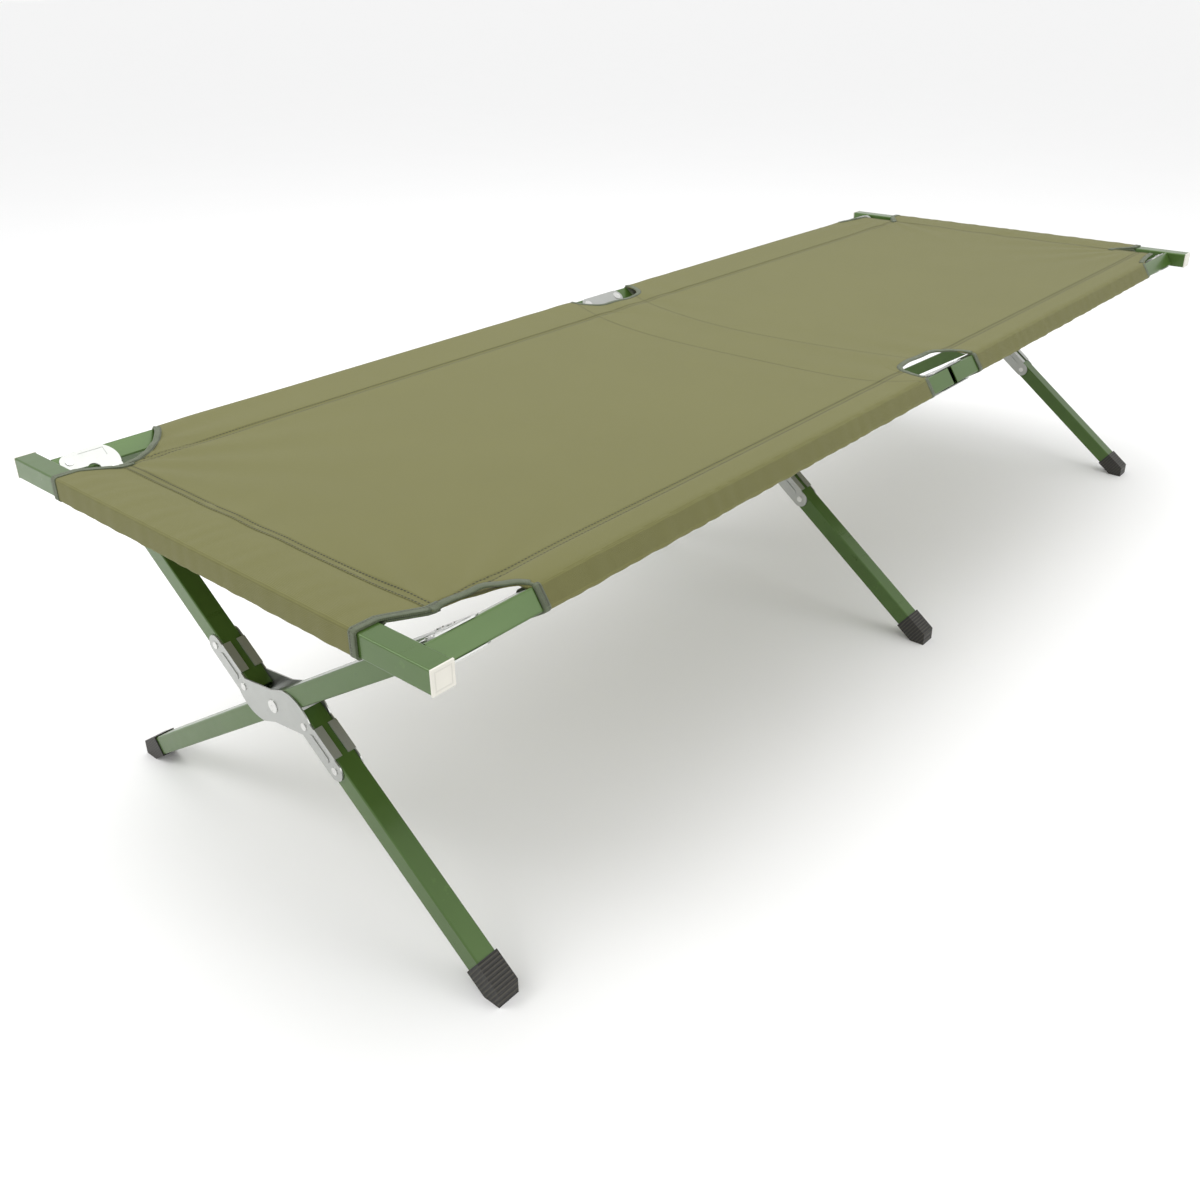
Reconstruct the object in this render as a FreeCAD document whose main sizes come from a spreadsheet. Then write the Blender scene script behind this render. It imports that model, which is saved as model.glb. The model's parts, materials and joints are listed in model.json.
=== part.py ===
import FreeCAD, Part
import math
import os
import Sketcher

# Folding cot: two side rails in halves, three crossing leg pairs, two end bars and a stretched fabric.
# Millimetres. +X runs along the cot to its foot end, +Y to its left side, +Z up, the floor is Z = 0.
# The rails are square tubes turned about X to lie in line with the legs that carry them.

V = FreeCAD.Vector
X_AXIS = V(1, 0, 0)
Z_AXIS = V(0, 0, 1)

DIMENSIONS = [
    ("tube", 25.4, "outer side of every square tube"),
    ("wall", 1.5, "wall of every square tube"),
    ("corner", 2.0, "corner radius of every square tube"),
    ("overall", 1975.0, "length over the two end bars"),
    ("bar_length", 732.0, "length of an end bar with its caps"),
    ("bar_height", 437.3, "centre of an end bar above the floor"),
    ("bar_gap", 0.7, "gap between a rail end and the end bar"),
    ("cap_flange", 2.0, "thickness of an end bar's cap"),
    ("cap_proud", 0.2, "how far a cap stands out past the tube"),
    ("cap_spigot", 14.0, "length of a cap's plug inside the bar"),
    ("rail_side", 325.0, "rail centre from the middle of the cot"),
    ("rail_height", 432.5, "rail centre above the floor"),
    ("cross_height", 223.0, "crossing pivot above the floor"),
    ("leg_offset", 32.0, "offset of each half of the split leg from the pivot"),
    ("end_leg", 903.3, "end leg pairs from the middle of the cot"),
    ("middle_leg", 27.5, "middle leg pair along the cot"),
    ("hinge_middle", 17.0, "middle of the rail hinge along the cot"),
    ("hinge_gap", 11.0, "gap between the two halves of a rail"),
    ("hinge_pitch", 74.0, "distance between a link's two pivots"),
    ("stud_radius", 4.5, "radius of an end bar's stud"),
    ("stud_reach", 6.5, "how far a stud stands out of its bar"),
    ("slot_room", 0.3, "room round a stud in its slot"),
    ("eye_reach", 15.4, "eye rivet from the end of the rail"),
    ("rivet", 3.0, "radius of a rivet's shank"),
    ("head", 4.6, "radius of a rivet's head"),
    ("head_height", 1.0, "height of a rivet's head"),
    ("plate", 1.5, "thickness of a corner plate"),
    ("link_plate", 1.2, "thickness of a link plate"),
    ("link_gap_left", 0.35, "gap between link plate and left rail"),
    ("link_gap_right", 1.0, "gap between link plate and right rail"),
    ("link_pin", 4.0, "radius of a link's pivot pin"),
    ("link_head", 7.0, "radius of a link pivot's head"),
    ("link_head_height", 0.9, "height of a link pivot's head"),
    ("link_round", 12.0, "radius of a link plate's rounded end"),
    ("cross_plate", 1.6, "thickness of a crossing plate"),
    ("cross_gap", 0.35, "gap between crossing plate and tube"),
    ("cross_pin", 5.0, "radius of the crossing pivot"),
    ("cross_head", 8.0, "radius of the crossing pivot's head"),
    ("fit", 0.05, "running fit of a pin in its hole"),
    ("boot_wall", 1.5, "wall of a rubber foot"),
    ("boot_top", 361.0, "top of a foot on the straight leg, from the pivot"),
    ("split_boot_top", 358.0, "top of a foot on the split leg, from the pivot"),
    ("boot_side", 341.5, "outer face of a foot from the middle of the cot"),
    ("leg_in_boot", 24.0, "length of leg inside its foot"),
    ("leg_gap", 0.5, "gap between an end leg's top and its rail"),
    ("middle_leg_top", 34.0, "middle leg's top below the rail centre"),
    ("split_leg_start", 33.0, "inner end of each half of the split leg, from the pivot"),
    ("fabric", 1.2, "thickness of the fabric"),
    ("fabric_room", 0.3, "room between a sleeve and its tube"),
    ("cover_bottom", 450.7, "underside of the stretched fabric above the floor"),
    ("cover_side", 324.0, "edge of the stretched fabric from the middle of the cot"),
    ("hem_side", 270.0, "end of a hem from the middle of the cot"),
    ("hem_end", 921.8, "seam where a hem meets the stretched fabric"),
    ("cut_side", 248.0, "corner cut-out's depth, from the middle of the cot"),
    ("sleeve_end", 830.0, "outer end of a sleeve"),
    ("sleeve_front", 50.0, "inner end of a front sleeve, ahead of the middle"),
    ("sleeve_rear", 92.0, "inner end of a rear sleeve, behind the middle"),
    ("waist_side", 277.0, "edge of the fabric at the hinge cut-out"),
]

doc = FreeCAD.newDocument("folding_cot")
sheet = doc.addObject("Spreadsheet::Sheet", "Dims")
for row, (alias, value, meaning) in enumerate(DIMENSIONS, start=1):
    sheet.set(f"A{row}", meaning)
    sheet.set(f"B{row}", str(value))
    sheet.setAlias(f"B{row}", alias)
doc.recompute()
dim = {alias: getattr(sheet, alias) for alias, _, _ in DIMENSIONS}

half = dim["tube"] / 2
rise = dim["rail_height"] - dim["cross_height"]
arm = math.hypot(dim["rail_side"], rise)
straight_lean = math.degrees(math.atan2(rise, dim["rail_side"]))
split_lean = straight_lean + math.degrees(math.asin(dim["leg_offset"] / arm))
split_reach = math.sqrt(arm ** 2 - dim["leg_offset"] ** 2)
rail_end = dim["overall"] / 2 - dim["tube"] - dim["bar_gap"]
eye_x = rail_end - dim["eye_reach"]
front_pivot = dim["hinge_middle"] - dim["hinge_pitch"] / 2
rear_pivot = dim["hinge_middle"] + dim["hinge_pitch"] / 2
front_tip = dim["hinge_middle"] - dim["hinge_gap"] / 2
rear_tip = dim["hinge_middle"] + dim["hinge_gap"] / 2

SIDES = {"left": 1, "right": -1}
LEAN = {"left": split_lean, "right": straight_lean}
LEG_PAIRS = {"head": -dim["end_leg"], "middle": dim["middle_leg"], "foot": dim["end_leg"]}
ENDS = {"head": -1, "foot": 1}

nodes = []


def frame_at(y, z, angle, x=0.0):
    """A placement turned about X, so that local Y and Z lie across a tilted tube."""
    return FreeCAD.Placement(V(x, y, z), FreeCAD.Rotation(X_AXIS, angle))


def rail_frame(side):
    """Local X along the rail, local Z square to its upper face."""
    return frame_at(SIDES[side] * dim["rail_side"], dim["rail_height"], SIDES[side] * LEAN[side])


def straight_frame(x=0.0):
    """Local Y down the straight leg to its left foot, from the crossing pivot."""
    return frame_at(0, dim["cross_height"], -straight_lean, x)


def split_frame(x=0.0):
    """Local Y up the split leg to the left rail, from the crossing pivot."""
    return frame_at(0, dim["cross_height"], split_lean, x)


def bind(thing, **expressions):
    """Bind properties of an object to the sheet."""
    for name, expression in expressions.items():
        thing.setExpression(name, expression)
    return thing


def keep(thing, label):
    """Name a finished sub-part; its label names its file."""
    thing.Label = label
    nodes.append(thing)
    return thing


def block(length, width, height, corner):
    """A box of bound sizes with its lowest corner at the given point."""
    box = bind(doc.addObject("Part::Box", "block"), Length=length, Width=width, Height=height)
    box.Placement.Base = V(*corner)
    return box


def rod(radius, height, base, direction=Z_AXIS):
    """A cylinder of bound radius and height from a base point along a direction."""
    cylinder = bind(doc.addObject("Part::Cylinder", "rod"), Radius=radius, Height=height)
    cylinder.Placement = FreeCAD.Placement(V(*base), FreeCAD.Rotation(Z_AXIS, V(*direction)))
    return cylinder


def cut(base, tools):
    """A base with one or more tools taken out of it."""
    for tool in tools:
        step = doc.addObject("Part::Cut", "cut")
        step.Base = base
        step.Tool = tool
        base = step
    return base


def fuse(shapes):
    """Several touching shapes made into one solid."""
    joined = doc.addObject("Part::MultiFuse", "fuse")
    joined.Shapes = shapes
    return joined


def group(shapes):
    """Separate solids that share one node."""
    compound = doc.addObject("Part::Compound", "group")
    compound.Links = shapes
    return compound


def edges_along(shape, direction):
    """Numbers of the straight edges that run in a direction."""
    found = []
    for number, edge in enumerate(shape.Edges, start=1):
        if abs(edge.tangentAt(edge.FirstParameter).dot(direction)) > 0.999:
            found.append(number)
    return found


def square_tube(length_expression, start, holes=()):
    """A square tube along X from a start point, with rounded corners, open ends and holes."""
    stock = block(length_expression, "Dims.tube", "Dims.tube", (start, -half, -half))
    doc.recompute()
    rounded = doc.addObject("Part::Fillet", "rounded")
    rounded.Base = stock
    rounded.Edges = [(number, dim["corner"], dim["corner"]) for number in edges_along(stock.Shape, X_AXIS)]
    inside = half - dim["wall"]
    bore = block(
        length_expression + " + 2 * Dims.wall",
        "Dims.tube - 2 * Dims.wall",
        "Dims.tube - 2 * Dims.wall",
        (start - dim["wall"], -inside, -inside),
    )
    return cut(rounded, [bore, *holes])


def outline(sketch, corners):
    """Closed outline of straight runs; a corner marked "arc" is the middle of an arc."""
    ring = corners + corners[:1]
    index = 0
    while index < len(corners):
        start = ring[index]
        if ring[index + 1][0] == "arc":
            via = ring[index + 1][1:]
            end = ring[index + 2]
            sketch.addGeometry(Part.Arc(V(*start), V(*via), V(*end)))
            index += 2
        else:
            sketch.addGeometry(Part.LineSegment(V(*start), V(*ring[index + 1])))
            index += 1


def drill(sketch, centres, radius_expression):
    """Round holes in a sketch, their radius bound to the sheet."""
    for centre in centres:
        circle = sketch.addGeometry(Part.Circle(V(*centre), Z_AXIS, 1.0))
        constraint = sketch.addConstraint(Sketcher.Constraint("Radius", circle, 1.0))
        sketch.setExpression(f"Constraints[{constraint}]", radius_expression)
        sketch.addConstraint(Sketcher.Constraint("DistanceX", -1, 1, circle, 3, centre[0]))
        sketch.addConstraint(Sketcher.Constraint("DistanceY", -1, 1, circle, 3, centre[1]))


def pressed(plane, level, corners, thickness, holes=()):
    """A flat pressed piece: an outline on a level above a plane, padded to a bound thickness."""
    body = doc.addObject("PartDesign::Body", "body")
    origin = [feature for feature in body.Origin.OriginFeatures if feature.Role == plane][0]
    sketch = body.newObject("Sketcher::SketchObject", "profile")
    sketch.AttachmentSupport = [(origin, "")]
    sketch.MapMode = "FlatFace"
    sketch.AttachmentOffset = FreeCAD.Placement(V(0, 0, level), FreeCAD.Rotation())
    outline(sketch, corners)
    for centres, radius_expression in holes:
        drill(sketch, centres, radius_expression)
    pad = body.newObject("PartDesign::Pad", "pad")
    pad.Profile = sketch
    bind(pad, Length=thickness)
    return body


def rivet(centre, reach, radius, head, head_height):
    """A rivet along local Z: a shank that fills the gap between two heads."""
    x, y = centre
    shank = rod(radius, f"2 * ({reach})", (x, y, -sheet_value(reach)))
    upper = rod(head, head_height, (x, y, sheet_value(reach)))
    lower = rod(head, head_height, (x, y, -sheet_value(reach) - sheet_value(head_height)))
    return fuse([shank, upper, lower])


def sheet_value(expression):
    """The number that an expression on the sheet gives."""
    return float(sheet.evalExpression(expression))


# Rails: a front and a rear half on each side, with a slot for the end bar's stud, rivet holes and pivots.
RAIL_TOP = "Dims.tube / 2"
SLOT_RADIUS = "Dims.stud_radius + Dims.slot_room"
SLOT_DEPTH = "Dims.stud_reach + Dims.slot_room"


def rail_through_hole(x, radius):
    """A hole from the upper to the lower face of a rail."""
    return rod(radius, "2 * Dims.tube", (x, 0, -dim["tube"]))


def stud_slot(end):
    """The room for a stud at a rail's end: round at the top and open through the lower face."""
    depth = sheet_value(SLOT_DEPTH)
    start = -rail_end if end == "head" else rail_end - depth
    radius = sheet_value(SLOT_RADIUS)
    ceiling = rod(SLOT_RADIUS, SLOT_DEPTH, (start, 0, 0), X_AXIS)
    chute = block(SLOT_DEPTH, f"2 * ({SLOT_RADIUS})", "Dims.tube", (start, -radius, -dim["tube"]))
    return fuse([ceiling, chute])


for side in SIDES:
    for end, direction in ENDS.items():
        if end == "head":
            start, pivot = -rail_end, front_pivot
            length = "Dims.overall / 2 - Dims.tube - Dims.bar_gap + Dims.hinge_middle - Dims.hinge_gap / 2"
        else:
            start, pivot = rear_tip, rear_pivot
            length = "Dims.overall / 2 - Dims.tube - Dims.bar_gap - Dims.hinge_middle - Dims.hinge_gap / 2"
        half_name = "front" if end == "head" else "rear"
        holes = [
            rail_through_hole(direction * eye_x, "Dims.rivet + Dims.fit"),
            rail_through_hole(pivot, "Dims.link_pin + Dims.fit"),
            stud_slot(end),
        ]
        rail = keep(square_tube(length, start, holes), f"rail_{half_name}_{side}")
        rail.Placement = rail_frame(side)

        plug_length = 24.0
        plug_half = half - dim["wall"] - dim["fit"]
        plug_start = -rail_end if end == "head" else rail_end - plug_length
        stock = block(
            str(plug_length),
            "Dims.tube - 2 * Dims.wall - 2 * Dims.fit",
            "Dims.tube - 2 * Dims.wall - 2 * Dims.fit",
            (plug_start, -plug_half, -plug_half),
        )
        eye_hole = rail_through_hole(direction * eye_x, "Dims.rivet + Dims.fit")
        plug = keep(cut(stock, [eye_hole, stud_slot(end)]), f"rail_plug_{half_name}_{side}")
        plug.Placement = rail_frame(side)

        if side == "right":
            pin = rod("Dims.link_pin", "Dims.tube", (pivot, 0, -half))
            pin.Placement = rail_frame(side).multiply(pin.Placement)
            keep(pin, f"hinge_pin_{half_name}_right")

# Corner plates: a pressed plate above and one below each rail end, carried down over the leg's top.
LEG_RIVETS_DOWN = (26.0, 45.0)
PLATE_DOWN = 54.0
LEG_NEAR = dim["end_leg"] - half
LEG_FAR = dim["end_leg"] + half


def corner_outline(direction, outward):
    """Outline from the eye round the rail end to the foot of the plate on the leg."""
    eye_round = 11.0
    points = [
        (eye_x, eye_round),
        (eye_x - 12.0, half),
        (LEG_NEAR + 12.0, half),
        ("arc", LEG_NEAR + 3.0, half - 7.0),
        (LEG_NEAR, -half - 6.0),
        (LEG_NEAR, -PLATE_DOWN),
        (LEG_FAR, -PLATE_DOWN),
        (LEG_FAR, -half - 2.0),
        ("arc", LEG_FAR + 5.0, -half + 2.5),
        (LEG_FAR + 13.0, -half + 1.0),
        (eye_x, -eye_round),
        ("arc", eye_x + eye_round, 0.0),
    ]
    placed = []
    for point in points:
        mark, (x, y) = point[:-2], point[-2:]
        placed.append((*mark, direction * x, outward * y))
    return placed


def corner_dent(direction, outward, level, depth):
    """The shallow pressed panel along the upper part of a corner plate."""
    near, far = sorted((direction * (LEG_NEAR + 10.0), direction * (eye_x - 14.0)))
    low, high = sorted((outward * -4.0, outward * 8.0))
    return block(str(far - near), str(high - low), str(depth), (near, low, level))


for side, outward in SIDES.items():
    for end, direction in ENDS.items():
        rivet_centres = [(direction * eye_x, 0.0)]
        for down in LEG_RIVETS_DOWN:
            rivet_centres.append((direction * dim["end_leg"], -outward * down))
        plates = []
        for level in (half, -half - dim["plate"]):
            flat = pressed(
                "XY_Plane",
                level,
                corner_outline(direction, outward),
                "Dims.plate",
                [(rivet_centres, "Dims.rivet + Dims.fit")],
            )
            dent_depth = 0.5
            outer = level + dim["plate"] - dent_depth if level > 0 else level
            plates.append(cut(flat, [corner_dent(direction, outward, outer, dent_depth)]))
        pair = keep(group(plates), f"corner_plates_{end}_{side}")
        pair.Placement = rail_frame(side)
        rivets = []
        for centre in rivet_centres:
            reach = "Dims.tube / 2 + Dims.plate"
            rivets.append(rivet(centre, reach, "Dims.rivet", "Dims.head", "Dims.head_height"))
        rivets = keep(group(rivets), f"corner_rivets_{end}_{side}")
        rivets.Placement = rail_frame(side)

# Mid-hinge links: a plate above and one below the rail halves, with a tongue that carries the middle leg.
LINK_RIVETS_DOWN = (41.0, 52.0)
TONGUE_DOWN = 59.0


def link_outline(outward):
    """Two rounded ends about the pivots, and the tongue down over the middle leg's top."""
    ball = dim["link_round"]
    points = [
        (rear_pivot, ball),
        (front_pivot, ball),
        ("arc", front_pivot - ball, 0.0),
        (front_pivot, -ball),
        (dim["middle_leg"] - half, -ball),
        (dim["middle_leg"] - half, -TONGUE_DOWN),
        (dim["middle_leg"] + half, -TONGUE_DOWN),
        (dim["middle_leg"] + half, -ball),
        (rear_pivot, -ball),
        ("arc", rear_pivot + ball, 0.0),
    ]
    return [(*point[:-1], outward * point[-1]) for point in points]


for side, outward in SIDES.items():
    gap = f"Dims.link_gap_{side}"
    level = half + sheet_value(gap)
    pivots = [(front_pivot, 0.0), (rear_pivot, 0.0)]
    leg_rivets = [(dim["middle_leg"], -outward * down) for down in LINK_RIVETS_DOWN]
    holes = [(pivots, "Dims.link_pin + Dims.fit"), (leg_rivets, "Dims.rivet + Dims.fit")]
    plates = []
    for start in (level, -level - dim["link_plate"]):
        plates.append(pressed("XY_Plane", start, link_outline(outward), "Dims.link_plate", holes))
    pair = keep(group(plates), f"link_plates_{side}")
    pair.Placement = rail_frame(side)
    reach = f"Dims.tube / 2 + {gap} + Dims.link_plate"
    head_height = "Dims.link_head_height"
    fasteners = [rivet(centre, reach, "Dims.rivet", "Dims.head", head_height) for centre in leg_rivets]
    for centre in pivots:
        if side == "left":
            fasteners.append(rivet(centre, reach, "Dims.link_pin", "Dims.link_head", head_height))
            continue
        outer = sheet_value(reach)
        for face in (1, -1):
            stem_base = (*centre, level if face > 0 else -outer)
            head_base = (*centre, outer if face > 0 else -outer - dim["link_head_height"])
            stem = rod("Dims.link_pin", "Dims.link_plate", stem_base)
            fasteners.append(fuse([stem, rod("Dims.link_head", head_height, head_base)]))
    rivets = keep(group(fasteners), f"link_rivets_{side}")
    rivets.Placement = rail_frame(side)

# Legs. The straight leg runs through the pivot, the split leg passes it as two offset halves.
TURN_TO_Y = FreeCAD.Placement(V(0, 0, 0), FreeCAD.Rotation(Z_AXIS, 90))


def leg_tube(frame, start, length_expression, offset, holes):
    """A square tube along a leg frame's local Y, raised by an offset along its local Z."""
    tube = square_tube(length_expression, start, holes)
    shift = FreeCAD.Placement(V(0, 0, offset), FreeCAD.Rotation())
    tube.Placement = frame.multiply(shift).multiply(TURN_TO_Y)
    return tube


def across(position, radius, span="2 * Dims.tube"):
    """A hole through a leg's front and back faces, at a distance along it."""
    return rod(radius, span, (position, dim["tube"], 0), (0, -1, 0))


def down_through(position):
    """A rivet hole through a leg's upper and lower faces."""
    return rod("Dims.rivet + Dims.fit", "2 * Dims.tube", (position, 0, -dim["tube"]))


ARM_RIVETS = (46.0, 106.0)
for pair, x in LEG_PAIRS.items():
    top_gap = "Dims.middle_leg_top" if pair == "middle" else "Dims.tube / 2 + Dims.leg_gap"
    downs = LINK_RIVETS_DOWN if pair == "middle" else LEG_RIVETS_DOWN
    top = arm - sheet_value(top_gap)
    holes = [across(0, "Dims.cross_pin + Dims.fit")] + [down_through(down - arm) for down in downs]
    length = f"{arm} - ({top_gap}) + Dims.boot_top + Dims.leg_in_boot"
    keep(leg_tube(straight_frame(x), -top, length, 0, holes), f"leg_straight_{pair}")

    holes = [across(place, "Dims.rivet + Dims.fit") for place in ARM_RIVETS]
    holes += [down_through(split_reach - down) for down in downs]
    length = f"{split_reach} - ({top_gap}) - Dims.split_leg_start"
    start = dim["split_leg_start"]
    keep(leg_tube(split_frame(x), start, length, -dim["leg_offset"], holes), f"leg_upper_{pair}")

    holes = [across(-place, "Dims.rivet + Dims.fit") for place in ARM_RIVETS]
    length = "Dims.split_boot_top + Dims.leg_in_boot - Dims.split_leg_start"
    start = -dim["split_boot_top"] - dim["leg_in_boot"]
    keep(leg_tube(split_frame(x), start, length, dim["leg_offset"], holes), f"leg_lower_{pair}")

# Crossing plates: one in front of and one behind each leg pair, riveted to both halves of the split leg.
ARM_INNER = dim["leg_offset"] - half
ARM_OUTER = dim["leg_offset"] + half
ARM_ROUND = 106.0


def crossing_outline():
    """Half of the outline, then the same half turned by half a turn about the pivot."""
    one_half = [
        (50.0, -ARM_INNER),
        (13.0, 17.0),
        (0.0, 37.0),
        ("arc", -24.0, 48.6),
        (-50.0, ARM_OUTER),
        (-ARM_ROUND, ARM_OUTER),
        ("arc", -ARM_ROUND - half, dim["leg_offset"]),
        (-ARM_ROUND, ARM_INNER),
    ]
    turned = [(*point[:-2], -point[-2], -point[-1]) for point in one_half]
    return one_half + turned


def rib_outline(middle, reach, width):
    """A long oval along an arm of the plate."""
    inner, outer = middle - reach, middle + reach
    level = -dim["leg_offset"]
    return [
        (inner, level - width),
        (outer, level - width),
        ("arc", outer + width, level),
        (outer, level + width),
        (inner, level + width),
        ("arc", inner - width, level),
    ]


def crossing_plate(face):
    """A plate on the front (-1) or back (+1) of a leg pair, with ribs and tabs folded over the tubes."""
    near = half + dim["cross_gap"]
    level = near if face > 0 else -near - dim["cross_plate"]
    centres = [(sign * place, -sign * dim["leg_offset"]) for place in ARM_RIVETS for sign in (1, -1)]
    holes = [([(0.0, 0.0)], "Dims.cross_pin + Dims.fit"), (centres, "Dims.rivet + Dims.fit")]
    flat = pressed("YZ_Plane", level, crossing_outline(), "Dims.cross_plate", holes)
    rib_height = 0.9
    rib_level = near + dim["cross_plate"] if face > 0 else -near - dim["cross_plate"] - rib_height
    rib = pressed("YZ_Plane", rib_level, rib_outline(76.0, 14.0, 4.5), str(rib_height))
    turned_rib = pressed("YZ_Plane", rib_level, rib_outline(76.0, 14.0, 4.5), str(rib_height))
    turned_rib.Placement.Rotation = FreeCAD.Rotation(X_AXIS, 180)
    pieces = [flat, rib, turned_rib]
    tab_reach, tab_start, tab_length = 10.5, 58.0, 40.0
    for sign in (1, -1):
        tab_base = -sign * dim["leg_offset"] + half + dim["cross_gap"]
        start = tab_start if sign > 0 else -tab_start - tab_length
        inner = near + dim["cross_plate"] - tab_reach
        x = inner if face > 0 else -near - dim["cross_plate"]
        pieces.append(block(str(tab_reach), str(tab_length), "Dims.cross_plate", (x, start, tab_base)))
        web_x = near if face > 0 else -near - dim["cross_plate"]
        web = block("Dims.cross_plate", str(tab_length), "Dims.cross_gap + Dims.cross_plate",
                    (web_x, start, tab_base - dim["cross_gap"]))
        pieces.append(web)
    return fuse(pieces)


def cross_rivet(y, z, radius, head):
    """A rivet along X through both crossing plates."""
    reach = half + dim["cross_gap"] + dim["cross_plate"]
    length = "Dims.tube + 2 * Dims.cross_gap + 2 * Dims.cross_plate"
    shank = rod(radius, length, (-reach, y, z), X_AXIS)
    front = rod(head, "Dims.head_height", (-reach - dim["head_height"], y, z), X_AXIS)
    back = rod(head, "Dims.head_height", (reach, y, z), X_AXIS)
    return fuse([shank, front, back])


for pair, x in LEG_PAIRS.items():
    plates = keep(group([crossing_plate(-1), crossing_plate(1)]), f"crossing_plates_{pair}")
    plates.Placement = split_frame(x)
    rivets = [cross_rivet(0.0, 0.0, "Dims.cross_pin", "Dims.cross_head")]
    for place in ARM_RIVETS:
        rivets.append(cross_rivet(place, -dim["leg_offset"], "Dims.rivet", "Dims.head"))
        rivets.append(cross_rivet(-place, dim["leg_offset"], "Dims.rivet", "Dims.head"))
    rivets = keep(group(rivets), f"crossing_rivets_{pair}")
    rivets.Placement = split_frame(x)

# Feet: a rubber boot on each leg end, cut level at the floor and upright at the outside.


def foot(x, side, lean, top, offset):
    """A boot round the end of a leg that leans by an angle; side is the foot's side of the cot."""
    slope = math.radians(lean)
    along = (math.cos(slope), -math.sin(slope))
    normal = (math.sin(slope), math.cos(slope))
    shell = half + dim["boot_wall"]
    axis = (offset * normal[0], dim["cross_height"] + offset * normal[1])

    def point(distance, height):
        return (
            axis[0] + distance * along[0] + height * normal[0],
            axis[1] + distance * along[1] + height * normal[1],
        )

    upper = point(top, shell)
    lower = point(top, -shell)
    side_run = (dim["boot_side"] - upper[0]) / along[0]
    shoulder = (dim["boot_side"], upper[1] + side_run * along[1])
    sole_start = (lower[0] - lower[1] * along[0] / along[1], 0.0)
    corners = [upper, shoulder, (dim["boot_side"], 0.0), sole_start, lower]
    corners = [(side * y, z) for y, z in corners]
    body = pressed("YZ_Plane", -shell, corners, "Dims.tube + 2 * Dims.boot_wall")
    room = 2 * dim["leg_in_boot"]
    socket = block("Dims.tube", str(room), "Dims.tube", (-half, -room, -half))
    reach = point(top + dim["leg_in_boot"], 0)
    turn = FreeCAD.Rotation(X_AXIS, -side * lean)
    if side < 0:
        socket.Placement.Base = V(-half, 0, -half)
    corner = turn.multVec(socket.Placement.Base)
    socket.Placement = FreeCAD.Placement(V(0, side * reach[0], reach[1]) + corner, turn)
    boot = cut(body, [socket])
    boot.Placement.Base = V(x, 0, 0)
    return boot


for pair, x in LEG_PAIRS.items():
    keep(foot(x, 1, straight_lean, dim["boot_top"], 0.0), f"foot_{pair}_left")
    keep(foot(x, -1, split_lean, dim["split_boot_top"], dim["leg_offset"]), f"foot_{pair}_right")

# End bars, with a cap at each end and a stud for each rail.
TURN_TO_BAR = FreeCAD.Rotation(Z_AXIS, 90)
for end, direction in ENDS.items():
    bar_x = direction * (dim["overall"] / 2 - half)
    bar_place = V(bar_x, 0, dim["bar_height"])
    inward = V(-direction, 0, 0)
    drop = dim["rail_height"] - dim["bar_height"]
    tube_end = dim["bar_length"] / 2 - dim["cap_flange"]
    stud_holes = []
    studs = []
    for side_sign in SIDES.values():
        stud_y = side_sign * dim["rail_side"]
        hole_base = (stud_y, 0, drop)
        stud_holes.append(rod("Dims.stud_radius + Dims.fit", "Dims.tube", hole_base, (0, direction, 0)))
        shank = rod("Dims.stud_radius", "Dims.wall + Dims.stud_reach",
                    (-direction * (half - dim["wall"]), stud_y, drop), inward)
        flange_thickness = 2.0
        flange = rod("Dims.stud_radius + 2", str(flange_thickness),
                     (-direction * (half - dim["wall"] - flange_thickness), stud_y, drop), inward)
        studs.append(fuse([shank, flange]))
    bar = keep(square_tube("Dims.bar_length - 2 * Dims.cap_flange", -tube_end, stud_holes), f"{end}_bar")
    bar.Placement = FreeCAD.Placement(bar_place, TURN_TO_BAR)
    studs = keep(group(studs), f"{end}_bar_studs")
    studs.Placement.Base = bar_place
    caps = []
    for side_sign in SIDES.values():
        cap_half = half + dim["cap_proud"]
        flange_y = tube_end if side_sign > 0 else -tube_end - dim["cap_flange"]
        cap_side = "Dims.tube + 2 * Dims.cap_proud"
        cap_corner = (-cap_half, flange_y, -cap_half)
        flange = block(cap_side, "Dims.cap_flange", cap_side, cap_corner)
        spigot_half = half - dim["wall"] - dim["fit"]
        spigot_y = tube_end - dim["cap_spigot"] if side_sign > 0 else -tube_end
        spigot_side = "Dims.tube - 2 * Dims.wall - 2 * Dims.fit"
        spigot = block(spigot_side, "Dims.cap_spigot", spigot_side, (-spigot_half, spigot_y, -spigot_half))
        caps.append(fuse([flange, spigot]))
    caps = keep(group(caps), f"{end}_bar_caps")
    caps.Placement.Base = bar_place

# Fabric: sleeves round the rails, hems round the end bars and the stretched surface between them.
SLEEVE_SIDE = "Dims.tube + 2 * Dims.fabric_room + 2 * Dims.fabric"
SLEEVE_BORE = "Dims.tube + 2 * Dims.fabric_room"


def sleeve(length, start):
    """A square fabric tube along X."""
    outer = half + dim["fabric_room"] + dim["fabric"]
    inner = half + dim["fabric_room"]
    shell = block(length, SLEEVE_SIDE, SLEEVE_SIDE, (start, -outer, -outer))
    bore = block(f"{length} + 2", SLEEVE_BORE, SLEEVE_BORE, (start - 1, -inner, -inner))
    return cut(shell, [bore])


for side in SIDES:
    front = sleeve("(Dims.sleeve_end - Dims.sleeve_front)", -dim["sleeve_end"])
    keep(front, f"sleeve_front_{side}").Placement = rail_frame(side)
    rear = sleeve("(Dims.sleeve_end - Dims.sleeve_rear)", dim["sleeve_rear"])
    keep(rear, f"sleeve_rear_{side}").Placement = rail_frame(side)

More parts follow.
